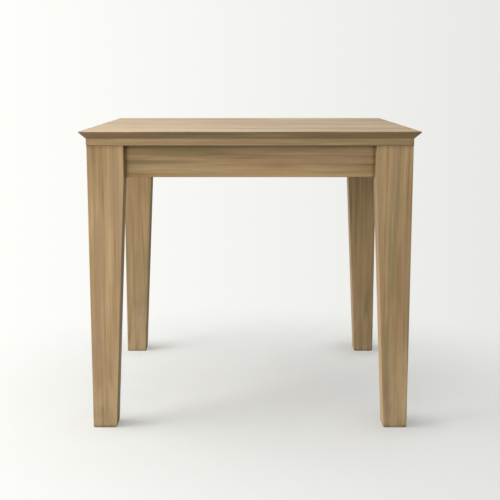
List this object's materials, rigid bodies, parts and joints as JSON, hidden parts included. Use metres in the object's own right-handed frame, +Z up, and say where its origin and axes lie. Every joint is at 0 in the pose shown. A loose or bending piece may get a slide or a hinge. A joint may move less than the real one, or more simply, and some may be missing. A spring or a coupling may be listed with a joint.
{
  "type": "kitchen table",
  "caption": "Square timber kitchen table: board top with an undercut edge on a mitred frieze frame, recessed aprons, and legs of even depth, tapered on their inner faces and bolted to corner blocks.",
  "frame": {"origin": "on the floor under the middle of the top", "axes": "+Z up, front side towards -Y, boards and their grain along X"},
  "size_m": [0.84, 0.84, 0.76],
  "materials": {
    "table_timber": "greyed tan hardwood, long soft grain, matt clear finish",
    "inner_timber": "plain sawn hardwood, sanded, no finish",
    "joint_timber": "pale beech, unfinished",
    "fastener_steel": "bright zinc plate"
  },
  "bodies": {
    "root": {"top_board_1": "table_timber", "top_board_2": "table_timber", "top_board_3": "table_timber", "top_board_4": "table_timber", "top_board_5": "table_timber", "top_board_6": "table_timber", "top_board_7": "table_timber", "frieze_front": "table_timber", "frieze_right": "table_timber", "frieze_back": "table_timber", "frieze_left": "table_timber", "leg_front_right": "table_timber", "leg_back_right": "table_timber", "leg_back_left": "table_timber", "leg_front_left": "table_timber", "apron_front": "table_timber", "apron_right": "table_timber", "apron_back": "table_timber", "apron_left": "table_timber", "corner_block_front_right": "inner_timber", "corner_block_back_right": "inner_timber", "corner_block_back_left": "inner_timber", "corner_block_front_left": "inner_timber", "table_button_front_1": "inner_timber", "table_button_front_2": "inner_timber", "table_button_right_1": "inner_timber", "table_button_right_2": "inner_timber", "table_button_back_1": "inner_timber", "table_button_back_2": "inner_timber", "table_button_left_1": "inner_timber", "table_button_left_2": "inner_timber", "top_batten": "inner_timber", "top_tongue_1": "joint_timber", "top_tongue_2": "joint_timber", "top_tongue_3": "joint_timber", "top_tongue_4": "joint_timber", "top_tongue_5": "joint_timber", "top_tongue_6": "joint_timber", "frieze_mitre_keys": "joint_timber", "apron_dowels": "joint_timber", "corner_block_screws": "fastener_steel", "hanger_bolts": "fastener_steel", "hanger_washers": "fastener_steel", "hanger_nuts": "fastener_steel", "table_button_screws": "fastener_steel", "top_screws": "fastener_steel", "batten_screws": "fastener_steel"}
  },
  "joints": []
}
